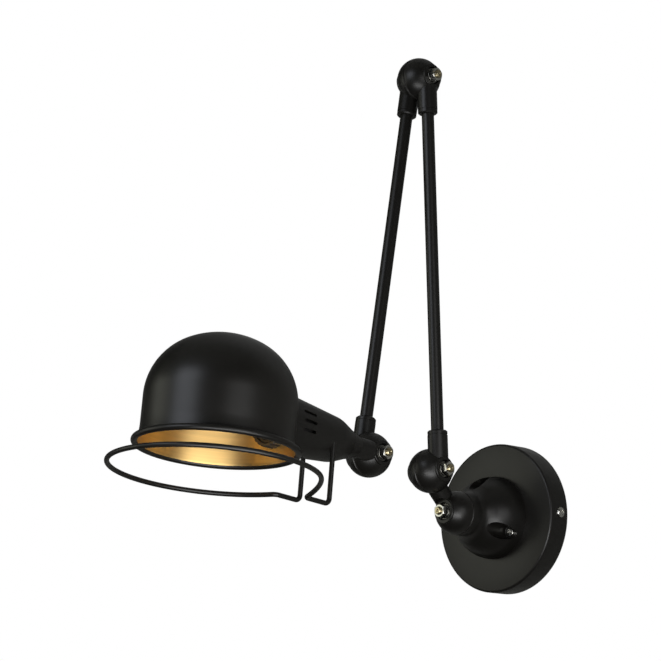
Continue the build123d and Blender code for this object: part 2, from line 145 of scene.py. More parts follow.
def rounded(corners, steps=5):
    # corners is rows of (radius, height, rounding): each becomes an arc that leaves and joins its two sides
    # at the rounding distance, drawn as a quadratic whose middle lies 0.28 of the way to the chord
    p = np.array([c[:2] for c in corners], float)
    out = []
    for i, cut in enumerate(c[2] for c in corners):
        if cut <= 0:
            out.append(p[i][None])
            continue
        before, after = p[i - 1] - p[i], p[(i + 1) % len(p)] - p[i]
        a = p[i] + before / np.linalg.norm(before) * cut
        b = p[i] + after / np.linalg.norm(after) * cut
        t = np.linspace(0, 1, steps + 1)[:, None]
        middle = p[i] * 0.72 + (a + b) / 2 * 0.28
        out.append((1 - t) ** 2 * a + 2 * t * (1 - t) * middle + t ** 2 * b)
    return np.concatenate(out)


def lathe(profile, turns, m, wrapU=False):
    # profile is rows of (radius, height) in metres, carried round the z axis of m
    return place(aroundAxis(profile[:, :1], fullTurn(turns), profile[:, 1:]), m), wrapU, True


def latheMm(points, turns, m):  # open outline of (radius, height) in mm, turned round m
    return lathe(np.array(points) * mm, turns, m)


def turnedPiece(name, corners, turns, m, steps=5):
    # closed outline of (radius, height, rounding) in mm, turned round m
    return gridMesh(name, [lathe(rounded(corners, steps) * mm, turns, m, wrapU=True)])


# where things are, metres and degrees from upright or level
pose = dict(innerLean=1.7, outerLean=10.6, headLean=6.2, armLength=0.320, beside=0.00875)
swivelSeam = Vector((0, -0.064, 0))
shoulderAt = Vector((0, -0.0945, 0.0305))
lean1, lean2, lean3 = (math.radians(pose[k]) for k in ("innerLean", "outerLean", "headLean"))
innerUp = Vector((0, -math.sin(lean1), math.cos(lean1)))
outerDown = Vector((0, -math.sin(lean2), -math.cos(lean2)))
elbowAt = shoulderAt + innerUp * pose["armLength"]
wristAt = elbowAt + outerDown * pose["armLength"]
headOut = Vector((0, -math.cos(lean3), math.sin(lean3)))
headUp = Vector((0, math.sin(lean3), math.cos(lean3)))
side = pose["beside"]  # tubes and head run beside the pivot plane


def headPoint(s, x, t):  # out along the head, to the right, up
    return wristAt + headOut * s + Vector((x, 0, 0)) + headUp * t


shadeFrame = frameMatrix(headPoint(0.161, side, -0.0308), (1, 0, 0), headUp)
headFrame = frameMatrix(headPoint(0, side, 0), (1, 0, 0), headOut)
wallFrame = frameMatrix((0, 0, 0), (1, 0, 0), (0, -1, 0))


def srgb(code):  # hex sRGB to linear RGBA
    out = []
    for i in (0, 2, 4):
        v = int(code[i:i + 2], 16) / 255.0
        out.append(v / 12.92 if v <= 0.04045 else ((v + 0.055) / 1.055) ** 2.4)
    return (*out, 1.0)


def addNode(tree, kind, settings=None, inputs=None, links=None):  # one node with its values and links
    n = tree.nodes.new(kind)
    for key, value in (settings or {}).items():
        setattr(n, key, value)
    for key, value in (inputs or {}).items():
        n.inputs[key].default_value = value
    for key, source in (links or {}).items():
        tree.links.new(source, n.inputs[key])
    return n


def newMaterial(name):
    m = bpy.data.materials.new(name)
    m.use_nodes = True
    m.node_tree.nodes.clear()
    return m, m.node_tree


def closeMaterial(t, shader):
    addNode(t, "ShaderNodeOutputMaterial", links={"Surface": shader.outputs[0]})


def skinFrom(t, values, links):
    closeMaterial(t, addNode(t, "ShaderNodeBsdfPrincipled", inputs=values, links=links))


def objectPoint(t):
    return addNode(t, "ShaderNodeTexCoord").outputs["Object"]


def noiseAt(t, where, scale, detail, roughness=0.5):
    values = {"Scale": scale, "Detail": detail, "Roughness": roughness}
    return addNode(t, "ShaderNodeTexNoise", inputs=values, links={"Vector": where}).outputs["Fac"]


def spread(t, source, low, high, start=0.0, end=1.0):  # start to end in the source becomes low to high
    values = {"From Min": start, "From Max": end, "To Min": low, "To Max": high}
    return addNode(t, "ShaderNodeMapRange", inputs=values, links={"Value": source}).outputs[0]


def vectorMath(t, operation, inputs=None, links=None):
    return addNode(t, "ShaderNodeVectorMath", {"operation": operation}, inputs, links)


def tinted(t, colour, tone):  # the hex colour times the tone
    return vectorMath(t, "SCALE", {0: srgb(colour)[:3]}, {"Scale": tone}).outputs[0]


def reliefFrom(t, height, strength, depth):
    values = {"Strength": strength, "Distance": depth}
    return addNode(t, "ShaderNodeBump", inputs=values, links={"Height": height}).outputs[0]


def powderCoat(name, colour, roughness):
    # polyester powder coat, oven cured: near-black satin, with a faint orange peel about 1.2 mm across and
    # patches a little duller and paler
    m, t = newMaterial(name)
    where = objectPoint(t)
    peel = noiseAt(t, where, 1 / (1.2 * mm), 2.0)
    patches = noiseAt(t, where, 28.0, 3.0, 0.55)
    base = tinted(t, colour, spread(t, patches, 0.9, 1.1))
    dull = spread(t, patches, roughness - 0.04, roughness + 0.04)
    relief = reliefFrom(t, peel, 0.10, 0.02 * mm)
    skinFrom(t, {"IOR": 1.42}, {"Base Color": base, "Roughness": dull, "Normal": relief})
    return m


def platedMetal(name, colour, roughness, wear=0.06):
    # zinc plate, the washers' darker steel or bare brass: a little cloudy, with fine handling marks about
    # 0.5 mm apart
    m, t = newMaterial(name)
    where = objectPoint(t)
    marks = noiseAt(t, where, 1 / (0.5 * mm), 4.0, 0.65)
    cloud = noiseAt(t, where, 320.0, 2.0)
    base = tinted(t, colour, spread(t, cloud, 0.88, 1.05))
    rough = spread(t, marks, roughness - wear, roughness + wear)
    relief = reliefFrom(t, marks, 0.12, 0.01 * mm)
    skinFrom(t, {"Metallic": 1.0}, {"Base Color": base, "Roughness": rough, "Normal": relief})
    return m


def spunGold(name, colour, roughness):
    # gold lacquer over spun aluminium: rings left by the spinning tool, drawn 1 mm apart so that they show,
    # and wider bands of tone, both from the point's distance to the shade's axis and its height
    m, t = newMaterial(name)
    back = Matrix(shadeFrame.tolist()).inverted()
    values = {"Location": tuple(back.translation), "Rotation": tuple(back.to_euler())}
    local = addNode(t, "ShaderNodeMapping", inputs=values, links={"Vector": objectPoint(t)})
    parts = addNode(t, "ShaderNodeSeparateXYZ", links={"Vector": local.outputs[0]}).outputs
    flat = addNode(t, "ShaderNodeCombineXYZ", links={"X": parts["X"], "Y": parts["Y"]})
    radius = vectorMath(t, "LENGTH", links={0: flat.outputs[0]}).outputs["Value"]
    ringPlace = addNode(t, "ShaderNodeCombineXYZ", links={"X": radius, "Z": parts["Z"]}).outputs[0]
    rings = noiseAt(t, ringPlace, 1 / (1.0 * mm), 3.0, 0.6)
    bands = noiseAt(t, ringPlace, 1 / (5.0 * mm), 4.0, 0.7)
    base = tinted(t, colour, spread(t, bands, 0.84, 1.06, 0.3, 0.7))
    rough = spread(t, rings, roughness - 0.05, roughness + 0.08)
    relief = reliefFrom(t, rings, 0.30, 0.02 * mm)
    # the spinning marks run round the shade, so the gloss spreads along the meridian: n x (axis x n)
    toWorld = {"vector_type": "NORMAL", "convert_from": "OBJECT", "convert_to": "WORLD"}
    axis = addNode(t, "ShaderNodeVectorTransform", toWorld, {"Vector": tuple(headUp)}).outputs[0]
    normal = addNode(t, "ShaderNodeNewGeometry").outputs["Normal"]
    around = vectorMath(t, "CROSS_PRODUCT", links={0: axis, 1: normal}).outputs[0]
    meridian = vectorMath(t, "CROSS_PRODUCT", links={0: normal, 1: around}).outputs[0]
    skinFrom(t, {"Metallic": 1.0, "Anisotropic": 0.8},
             {"Base Color": base, "Roughness": rough, "Normal": relief, "Tangent": meridian})
    return m


def mouldedPlastic(name, colour, roughness, grain=0.6):
    # moulded phenolic, pressed fibre or moulded nylon: even and dull, with a fine texture grain mm across
    m, t = newMaterial(name)
    texture = noiseAt(t, objectPoint(t), 1 / (grain * mm), 2.0)
    base = tinted(t, colour, spread(t, texture, 0.9, 1.1))
    relief = reliefFrom(t, texture, 0.2, 0.02 * mm)
    skinFrom(t, {"Roughness": roughness, "IOR": 1.6}, {"Base Color": base, "Normal": relief})
    return m


blackCoat = powderCoat("blackPowderCoat", "0f0e0c", 0.36)
goldInside = spunGold("spunGoldLacquer", "f4d08a", 0.51)
brightZinc = platedMetal("brightZincPlate", "cfcec8", 0.22)
# both washers take a darker, duller steel tone than the nuts
darkerWasherMetal = platedMetal("darkerWasherSteel", "8d8c87", 0.34)
yellowZinc = platedMetal("yellowPassivatedZinc", "b9ad8c", 0.30)
rawBrass = platedMetal("rolledBrassSheet", "d9b46c", 0.24)
blackPhenolic = mouldedPlastic("blackPhenolic", "191817", 0.40)
fibreDisc = mouldedPlastic("pressedFibre", "1c1815", 0.8, grain=1.0)
paleNylon = mouldedPlastic("naturalNylon", "cfcabb", 0.5)
print("lamp: materials ready")

# finishes of the CAD nodes, by the end of the name; every other node is coated
finishes = {"_nut": brightZinc, "_washers": brightZinc, "_screws": brightZinc, "wall_bracket": brightZinc,
            "neck_nipple": brightZinc, "_bolt": yellowZinc, "friction_disc": fibreDisc,
            "lampholder_body": blackPhenolic, "shade_ring": blackPhenolic, "terminal_block": paleNylon,
            "lampholder_shell": rawBrass, "lampholder_contact": rawBrass}
for nodeName, o in nodes.items():
    o.data.materials.clear()
    o.data.materials.append(next((m for end, m in finishes.items() if nodeName.endswith(end)), blackCoat))
print("lamp: node finishes set")

# spun plate that covers the wall fixing: a flat-faced cup with a rolled edge and a turned-in foot
plateSize = dict(radius=60.0, depth=20.0, wall=1.6, edge=1.8, hole=12.0, turns=256)


def makePlate():
    q = plateSize
    inner = q["radius"] - q["wall"]
    under = q["depth"] - q["wall"]
    corners = [(q["radius"], 0, 0.5), (q["radius"], q["depth"], q["edge"]), (q["hole"], q["depth"], 0.3),
               (q["hole"], under, 0.3), (inner, under, 1.0), (inner, 0, 0.4)]
    return smooth(turnedPiece("wallPlate", corners, q["turns"], wallFrame, 8), 50)


addPiece(makePlate(), [blackCoat], "base", "black_powder_coat", "wall_plate")

# cast bell: an egg-shaped dome that runs into a short collar, with three screw pockets
bellSize = dict(baseRadius=33.3, domeHeight=34.0, length=43.6, collarRadius=17.5, collar=9.0, back=20.0,
                pocketRadius=6.5, pocketCircle=26.6, pocketFloor=5.2, pocketTop=60.0, pocketTurn=31.5,
                pockets=3, turns=224)


def smoothCurve(points, count, startDir, endDir):
    # cubic curve through the points in equal steps of chord; the slope at each is the mean of the chords to
    # its neighbours, weighted by the other chord's length
    p = np.array(points, float)
    step = np.linalg.norm(np.diff(p, axis=0), axis=1)
    slope = np.zeros_like(p)
    chord = np.diff(p, axis=0) / step[:, None]
    weighted = chord[:-1] * step[1:, None] + chord[1:] * step[:-1, None]
    slope[1:-1] = weighted / (step[1:] + step[:-1])[:, None]
    slope[0], slope[-1] = startDir, endDir
    at = np.concatenate([[0], np.cumsum(step)])
    s = np.linspace(0, at[-1], count)
    i = np.clip(np.searchsorted(at, s, side="right") - 1, 0, len(step) - 1)
    h = step[i][:, None]
    t = ((s - at[i]) / step[i])[:, None]
    return ((2 * t ** 3 - 3 * t ** 2 + 1) * p[i] + (t ** 3 - 2 * t ** 2 + t) * h * slope[i]
            + (3 * t ** 2 - 2 * t ** 3) * p[i + 1] + (t ** 3 - t ** 2) * h * slope[i + 1])


def pocketFrames():  # stations of the bell's screws, at its back face and looking out from the wall
    q = bellSize
    for k in range(q["pockets"]):
        a = math.radians(q["pocketTurn"] + k * 360 / q["pockets"])
        x, z = q["pocketCircle"] * mm * math.cos(a), -q["pocketCircle"] * mm * math.sin(a)
        yield frameMatrix((x, -q["back"] * mm, z), (1, 0, 0), (0, -1, 0))


def makeBell():
    q = bellSize
    # radius falls with the square root of 1 - t squared as the height climbs by t
    steps = (0, 0.15, 0.3, 0.45, 0.58, 0.67, 0.74)
    dome = [(q["baseRadius"] * math.sqrt(1 - t * t), q["domeHeight"] * t) for t in steps]
    shoulder = q["length"] - q["collar"]
    neck = [(q["collarRadius"] + 1, shoulder - 4), (q["collarRadius"], shoulder)]
    flank = smoothCurve(dome + neck, 110, (0, 1), (0, 1))
    edge = rounded([(q["collarRadius"], shoulder + 1, 0), (q["collarRadius"], q["length"], 0.6),
                    (0, q["length"], 0)])
    profile = np.concatenate([[[0, 0]], flank, edge]) + (0, q["back"])
    me = gridMesh("castBell", [lathe(profile * mm, q["turns"], wallFrame)])
    outline = rounded([(0, q["pocketFloor"], 0), (q["pocketRadius"], q["pocketFloor"], 0.5),
                       (q["pocketRadius"], q["pocketTop"], 0), (0, q["pocketTop"], 0)])
    for m in pocketFrames():
        me = trim(me, gridMesh("pocket", [lathe(outline * mm, 56, m)]))
    return smooth(me, 30)


addPiece(makeBell(), [blackCoat], "base", "black_powder_coat", "base_bell")
print("lamp: plate and bell made")

# screws: head, crossed recess, M4 thread and tip, in mm along z from the seat of the head
crossRecess = dict(reach=1.9, width=1.05, narrowing=0.35, depth=1.25, shallowing=0.45, wallRun=0.14,
                   endRun=0.2)
headEdge = dict(run=0.5, drop=0.35)
screwSize = dict(radius=2.0, length=12.0, pitch=0.7, depth=0.3, tipRadius=1.3, tip=0.6)


def screwHead(radius, tall, crown, m, turns=120, rows=64):
    # height over the disc: a shallow crown with an edge that rounds down as a quarter ellipse, less a cross
    # recess whose four arms narrow and shallow outwards
    q = crossRecess
    r = np.linspace(0, radius, rows)[:, None]
    a = fullTurn(turns)
    x, y = np.abs(r * np.cos(a)), np.abs(r * np.sin(a))
    near, far = np.minimum(x, y), np.maximum(x, y)
    halfWidth = q["width"] * (1 - q["narrowing"] * far / q["reach"]) / 2
    arm = np.clip((halfWidth - near) / q["wallRun"] + 0.5, 0, 1)
    arm = arm * np.clip((q["reach"] - far) / q["endRun"], 0, 1)
    rim = np.clip((radius - r) / headEdge["run"], 0, 1)
    edge = headEdge["drop"] * (1 - np.sqrt(1 - (1 - rim) ** 2))
    recess = arm * q["depth"] * (1 - q["shallowing"] * far / q["reach"])
    face = aroundAxis(r, a, tall - crown * (r / radius) ** 2 - edge - recess)
    foot = aroundAxis(radius, a, 0.0)
    return place(np.concatenate([face, foot, foot * (0.45, 0.45, 1)]) * mm, m), False, True


def threadRod(radius, low, high, pitch, depth, m, turns=48, taper=0.8):
    # radius over (height, turn): a triangle wave that climbs one pitch a turn and dies away at both ends
    z = np.linspace(low, high, int((high - low) / pitch * 8) + 1)[:, None]
    a = fullTurn(turns)
    wave = np.abs(((z / pitch - a / (2 * math.pi)) % 1) * 2 - 1)
    fade = np.clip((z - low) / taper, 0, 1) * np.clip((high - z) / taper, 0, 1)
    return place(aroundAxis(radius - depth * wave * fade, a, z) * mm, m), False, True


def screwGrids(head, m):  # head is (radius, height, crown)
    q = screwSize
    end = -q["length"] - q["tip"]
    tip = [(0, end), (q["tipRadius"], end), (q["radius"], -q["length"])]
    shank = threadRod(q["radius"], -q["length"], 0.2, q["pitch"], q["depth"], m)
    return [screwHead(*head, m), shank, latheMm(tip, 48, m)]


sideScrewSize = dict(head=(4.1, 2.5, 1.5), height=9.0)


def makeSideScrews():
    q = sideScrewSize
    grids = []
    for s in (-1, 1):
        seat = (s * plateSize["radius"] * mm, -q["height"] * mm, 0)
        grids += screwGrids(q["head"], frameMatrix(seat, (0, 0, 1), (s, 0, 0)))
    return smooth(gridMesh("sideScrews", grids), 40)


def hexEnd(flats):  # radius of the flat end that the cone leaves
    return flats / 2 * 0.95


def hexWall(flats, low, high, m):
    # radius over (height, turn): the hexagon's distance to its flats, cut by a 30 degree cone at each end
    ease = np.array([0, 0.08, 0.16, 0.24, 0.32, 0.42, 0.54, 0.7])
    t = np.concatenate([ease, [(high - low) / 2], (high - low) - ease[::-1]])[:, None]
    a = fullTurn(120)
    hexagon = flats / 2 / np.cos(a % (math.pi / 3) - math.pi / 6)
    r = np.minimum(hexagon, hexEnd(flats) + np.minimum(t, (high - low) - t) * 1.732)
    return place(aroundAxis(r, a, low + t) * mm, m), False, True


bellScrewSize = dict(head=(3.5, 2.8, 0.5), nutFlats=7.0, nutFrom=-10.0, nutTo=-6.8, nutBore=2.05)


def makeBellScrews():
    q = bellScrewSize
    low, high, outer = q["nutFrom"], q["nutTo"], hexEnd(q["nutFlats"])
    bore = [(outer, low), (q["nutBore"], low), (q["nutBore"], high), (outer, high)]
    grids = []
    for m in pocketFrames():
        seat = m.copy()
        seat[:3, 3] += m[:3, 2] * bellSize["pocketFloor"] * mm
        grids += screwGrids(q["head"], seat)
        grids += [hexWall(q["nutFlats"], low, high, seat), latheMm(bore, 120, seat)]
    return smooth(gridMesh("bellScrews", grids), 32)


# pivot hardware, in mm along z from the seam of the two half-balls; floor is the nut's counterbore
boltSize = dict(radius=3.0, flats=10.0, head=4.0, threadFrom=4.0, reach=23.2, tip=0.6, pitch=1.0,
                depth=0.33, socketRadius=0.95, socketDepth=0.85)
washerSize = dict(floor=13.5, bore=3.2, flatRadius=6.2, flat=1.2, springRadius=5.6, spring=1.6, square=1.46)
nutSize = dict(flats=10.0, tall=5.0, thread=3.02, mouthBelow=3.35, mouthAbove=3.45)
ringSize = dict(hole=13.5, radius=17.0, thickness=0.72, edge=0.1)


def makeBolt(name, inside, m):  # inside is where the head's inner face bears
    q = boltSize
    r, head, end = q["radius"], inside - q["head"], q["reach"] - q["tip"]
    rim = q["socketRadius"]
    tip = [(r, end), (r - q["tip"], q["reach"]), (rim + 0.2, q["reach"]), (rim, q["reach"] - 0.15),
           (0, q["reach"] - q["socketDepth"])]
    grids = [hexWall(q["flats"], head, inside, m),
             latheMm([(hexEnd(q["flats"]), head), (0, head)], 120, m),
             latheMm([(hexEnd(q["flats"]), inside), (r, inside)], 120, m),
             latheMm([(r, inside), (r, q["threadFrom"])], 48, m),
             threadRod(r, q["threadFrom"], end, q["pitch"], q["depth"], m),
             latheMm(tip, 48, m)]
    return smooth(gridMesh(name, grids), 32)


def makeNut(name, m):
    q = nutSize
    low = washerSize["floor"] + washerSize["flat"] + washerSize["spring"]
    high = low + q["tall"]
    outer = hexEnd(q["flats"])
    bore = [(outer, low), (q["mouthBelow"], low), (q["thread"], low + 0.33), (q["thread"], high - 0.4),
            (q["mouthAbove"], high), (outer, high)]
    return smooth(gridMesh(name, [hexWall(q["flats"], low, high, m), latheMm(bore, 120, m)]), 28)


def makeWashers(name, m):
    # flat washer, and above it a split spring washer: a square section carried 352 degrees round and up by
    # 0.13 mm, its ends closed by drawing the section in to its middle
    q = washerSize
    low, top = q["floor"], q["floor"] + q["flat"]
    flat = rounded([(q["bore"], low, 0.15), (q["flatRadius"], low, 0.15),
                    (q["flatRadius"], top, 0.3), (q["bore"], top, 0.15)], 3)
    high = top + q["square"]
    section = rounded([(q["bore"], top, 0.2), (q["springRadius"], top, 0.2),
                       (q["springRadius"], high, 0.25), (q["bore"], high, 0.2)], 3)
    middle = section.mean(0)
    a = np.radians(np.concatenate([[4], np.linspace(4, 356, 90), [356]]))
    keep = np.ones_like(a)
    keep[[0, -1]] = 0
    ring = middle + (section[:, None] - middle) * keep[None, :, None]
    coil = aroundAxis(ring[..., 0], a, ring[..., 1] + np.linspace(0, 0.13, len(a)))
    grids = [lathe(flat * mm, 80, m, wrapU=True), (place(coil * mm, m), True, False)]
    return smooth(gridMesh(name, grids), 35)


def makeFrictionRing(name, m):  # fibre ring between two half-balls, a hair thinner than their gap
    q = ringSize
    half = q["thickness"] / 2
    corners = [(q["hole"], -half, q["edge"]), (q["radius"], -half, q["edge"]),
               (q["radius"], half, q["edge"]), (q["hole"], half, q["edge"])]
    return smooth(turnedPiece(name, corners, 120, m, 2), 35)


pivots = {"swivel": ("base", frameMatrix(swivelSeam, (0, 0, -1), (0, -1, 0)), -12.4),
          "shoulder": ("swivel", frameMatrix(shoulderAt, (0, 0, -1), (1, 0, 0)), -13.5),
          "elbow": ("outer_arm", frameMatrix(elbowAt, outerDown, (1, 0, 0)), -13.5),
          "wrist": ("outer_arm", frameMatrix(wristAt, -headUp, (1, 0, 0)), -13.5)}
for pivot, (body, m, inside) in pivots.items():
    bolt = makeBolt(pivot + "Bolt", inside, m)
    addPiece(bolt, [yellowZinc], body, "zinc_plated_steel", pivot + "_bolt")
    addPiece(makeNut(pivot + "Nut", m), [brightZinc], body, "zinc_plated_steel", pivot + "_nut")
    addPiece(makeWashers(pivot + "Washers", m), [darkerWasherMetal], body, "zinc_plated_steel", pivot + "_washers")
    ring = makeFrictionRing(pivot + "FrictionRing", m)
    addPiece(ring, [fibreDisc], body, "friction_fibre", pivot + "_friction_disc")
addPiece(makeSideScrews(), [brightZinc], "base", "zinc_plated_steel", "plate_side_screws")
addPiece(makeBellScrews(), [brightZinc], "base", "zinc_plated_steel", "bell_screws")
print("lamp: bolts, nuts, washers, rings and screws made")

# arm tubes, drawn steel, from one socket's floor to the other's
tubeSize = dict(radius=5.0, wall=1.0, low=18.0, high=302.0, turns=96)


def makeTube(name, m):
    q = tubeSize
    stations = np.linspace(q["low"], q["high"], 12)
    outer = np.stack([np.full_like(stations, q["radius"]), stations], 1)
    inner = np.stack([np.full_like(stations, q["radius"] - q["wall"]), stations[::-1]], 1)
    profile = np.concatenate([outer, inner]) * mm
    return smooth(gridMesh(name, [lathe(profile, q["turns"], m, wrapU=True)]), 50)


innerFrame = frameMatrix(shoulderAt + Vector((side, 0, 0)), (1, 0, 0), innerUp)
outerFrame = frameMatrix(elbowAt - Vector((side, 0, 0)), (1, 0, 0), outerDown)
addPiece(makeTube("innerTube", innerFrame), [blackCoat], "inner_arm", "black_powder_coat", "inner_arm_tube")
addPiece(makeTube("outerTube", outerFrame), [blackCoat], "outer_arm", "black_powder_coat", "outer_arm_tube")

# spun shade, metres: a straight wall with a small flare, a shoulder arc and a wider crown arc, and a wired
# bead at the rim; each count of rows is the points along that part of the profile
shadeSize = dict(radius=0.056, flare=0.0012, flareHeight=0.012, height=0.0834, crown=0.066, shoulder=0.048,
                 wall=0.001, beadCircle=0.0591, beadRadius=0.0024, turns=224,
                 rowsFlare=14, rowsWall=24, rowsShoulder=40, rowsCrown=40)
holeSize = dict(radius=16.7, start=85, end=125)  # mm along the head, for the lampholder


def shadeProfile(offset):
    # from the rim up to the axis, drawn in by offset; the flare fades with the 1.6th power of the height
    q = shadeSize
    cx = q["radius"] - q["shoulder"]
    cz = q["height"] - q["crown"]
    sz = cz + math.sqrt((q["crown"] - q["shoulder"]) ** 2 - cx ** 2)
    turn = math.atan2(sz - cz, cx)
    r = q["radius"] - offset
    flareZ = np.linspace(0, q["flareHeight"], q["rowsFlare"], endpoint=False)
    flare = np.stack([r + q["flare"] * (1 - flareZ / q["flareHeight"]) ** 1.6, flareZ], 1)
    z = np.linspace(q["flareHeight"], sz, q["rowsWall"], endpoint=False)
    wall = np.stack([np.full_like(z, r), z], 1)
    a = np.linspace(0, turn, q["rowsShoulder"], endpoint=False)
    rs = q["shoulder"] - offset
    shoulder = np.stack([cx + rs * np.cos(a), sz + rs * np.sin(a)], 1)
    b = np.linspace(turn, math.pi / 2, q["rowsCrown"])
    rc = q["crown"] - offset
    crown = np.stack([rc * np.cos(b), cz + rc * np.sin(b)], 1)
    crown[-1, 0] = 0
    return np.concatenate([flare, wall, shoulder, crown])


def shadeSolid(name, offset, foot):  # closed body inside the shade's profile, its foot at that height
    body = np.concatenate([[[0, foot]], shadeProfile(offset)])
    return gridMesh(name, [lathe(body, 160, shadeFrame)])


def makeShade():
    q, h = shadeSize, holeSize
    outer = shadeProfile(0)
    inner = shadeProfile(q["wall"])[::-1]
    # the rim rolls outwards: from the inner wall's foot, round the bead, back to the outer wall
    a = np.radians(np.linspace(-178, 128, 40))
    bead = np.stack([q["beadCircle"] + q["beadRadius"] * np.cos(a), q["beadRadius"] * np.sin(a)], 1)
    inner = inner[inner[:, 1] > 0.0006]
    outer = outer[outer[:, 1] > bead[-1, 1] + 0.0004]
    profile = np.concatenate([inner, bead, outer])
    me = gridMesh("spunShade", [lathe(profile, q["turns"], shadeFrame)])
    hole = [(0, h["start"]), (h["radius"], h["start"]), (h["radius"], h["end"]), (0, h["end"])]
    return trim(me, gridMesh("holderHole", [latheMm(hole, 96, headFrame)]))


def goldInner(me):
    # the second material goes on faces inside the wall's radius whose normal looks at the axis, or down
    # where the crown starts, 30 mm above the rim
    inverse = np.linalg.inv(shadeFrame)
    mid = np.zeros(len(me.polygons) * 3, np.float32)
    nrm = np.zeros_like(mid)
    me.polygons.foreach_get("center", mid)
    me.polygons.foreach_get("normal", nrm)
    mid = place(mid.reshape(-1, 3).astype(float), inverse)
    nrm = nrm.reshape(-1, 3).astype(float) @ inverse[:3, :3].T
    facing = (mid * nrm)[:, 0] + (mid * nrm)[:, 1] + np.maximum(mid[:, 2] - 0.030, 0) * nrm[:, 2]
    within = (facing < 0) & (np.hypot(mid[:, 0], mid[:, 1]) < shadeSize["radius"] + 0.0006)
    me.polygons.foreach_set("material_index", within.astype(np.int32))
    print("lamp: shade made,", len(within), "faces, gold on", int(within.sum()))


shadeMesh = makeShade()
addPiece(shadeMesh, [blackCoat, goldInside], "head", "black_powder_coat", "shade")
goldInner(shadeMesh)
smooth(shadeMesh, 40)

# housing behind the shade: a tapered sleeve with a rounded shoulder, slotted on both sides
housingSize = dict(start=36.0, shoulder=49.0, end=126.0, bore=5.0, startRadius=12.4, shoulderRadius=17.4,
                   slope=0.108, wall=1.5, floor=3.0, turns=192)
slotSize = dict(start=84.0, end=98.0, radius=1.2, inner=10.0, outer=34.0, angles=(14, -4, -22), points=40)


def slotTool(turn):  # an oval's outline carried out from the head's axis at that turn, closed at both ends
    q = slotSize
    half = (q["end"] - q["start"]) / 2 - q["radius"]
    a = fullTurn(q["points"])[0]
    across = q["radius"] * np.sin(a)
    along = q["radius"] * np.cos(a) + np.where(np.cos(a) >= 0, half, -half)
    rows = [(q["inner"], 0), (q["inner"], 1), (q["outer"], 1), (q["outer"], 0)]
    grid = np.stack([np.stack([np.full_like(a, x), across * size, along * size], -1) for x, size in rows])
    grid += (0, 0, (q["start"] + q["end"]) / 2)
    # the frame's y runs against the head's up, so the turn is taken the other way
    c, s = math.cos(math.radians(turn)), math.sin(math.radians(turn))
    x, y, z = grid[..., 0], grid[..., 1], grid[..., 2]
    spun = np.stack([x * c + y * s, -x * s + y * c, z], -1)
    return gridMesh("slot", [(place(spun * mm, headFrame), False, True)])


def makeHousing():
    q = housingSize
    w, start, floor = q["wall"], q["start"], q["start"] + q["floor"]
    endRadius = q["shoulderRadius"] + q["slope"] * (q["end"] - q["shoulder"])
    corners = [(q["bore"], start, 0.1), (q["startRadius"], start, 0.35),
               (q["shoulderRadius"] - 0.1, q["shoulder"] - 0.6, 3.2), (endRadius, q["end"], 0),
               (endRadius - w, q["end"], 0), (q["shoulderRadius"] - w, q["shoulder"], 1.0),
               (q["startRadius"] - w, floor, 0.5), (q["bore"], floor, 0.1)]
    me = turnedPiece("lampHousing", corners, q["turns"], headFrame, 10)
    me = trim(me, shadeSolid("shadeBody", 0, -0.001))
    for angle in slotSize["angles"]:
        for turn in (angle, 180 - angle):
            me = trim(me, slotTool(turn))
    return smooth(me, 30)


addPiece(makeHousing(), [blackCoat], "head", "black_powder_coat", "lamp_housing")
print("lamp: housing made")

# screw lampholder, mm along the head: insulating cup, ribbed ring nut, and a brass shell with the rolled
# thread of an E27 lamp
holderSize = dict(back=74.0, front=112.0, radius=16.6, bore=14.2, floor=80.0)
shellSize = dict(back=84.0, front=110.0, radius=13.35, wave=0.42, pitch=3.62, sheet=0.35, bottom=6.5,
                 bottomSheet=0.4, fadeBack=3.0, plainBack=1.0, fadeFront=2.0, plainFront=0.6)
nutRingSize = dict(back=100.0, front=113.0, inner=16.65, outer=19.6, ribs=28, ribDepth=0.6,
                   ribSteepness=2.2, ribsFrom=18.4, ribsOver=1.2)


def makeHolder():
    q = holderSize
    corners = [(q["radius"], q["back"], 2.0), (q["radius"], q["front"], 0.9), (q["bore"], q["front"], 0.5),
               (q["bore"], q["floor"], 0.6), (0, q["floor"], 0), (0, q["back"], 0)]
    return smooth(gridMesh("lampholderBody", [lathe(rounded(corners) * mm, 128, headFrame)]), 40)


def makeShell():
    # radius over (height, turn): a rolled wave that climbs one crest a turn and flattens at both ends
    q = shellSize
    z = np.linspace(q["back"], q["front"], 150)[:, None]
    a = fullTurn(128)
    fade = np.clip((z - q["back"] - q["plainBack"]) / q["fadeBack"], 0, 1)
    fade = fade * np.clip((q["front"] - z - q["plainFront"]) / q["fadeFront"], 0, 1)
    r = q["radius"] - q["wave"] * np.cos(2 * math.pi * (z / q["pitch"] - a / (2 * math.pi))) * fade
    inner = aroundAxis(r, a, z)
    outer = aroundAxis(r + q["sheet"], a, z)[::-1]
    floor = aroundAxis(q["bottom"], a, q["back"] + q["bottomSheet"])
    under = aroundAxis(q["bottom"], a, q["back"])
    grid = np.concatenate([under, floor, inner, outer]) * mm
    return smooth(gridMesh("lampholderShell", [(place(grid, headFrame), True, True)]), 50)


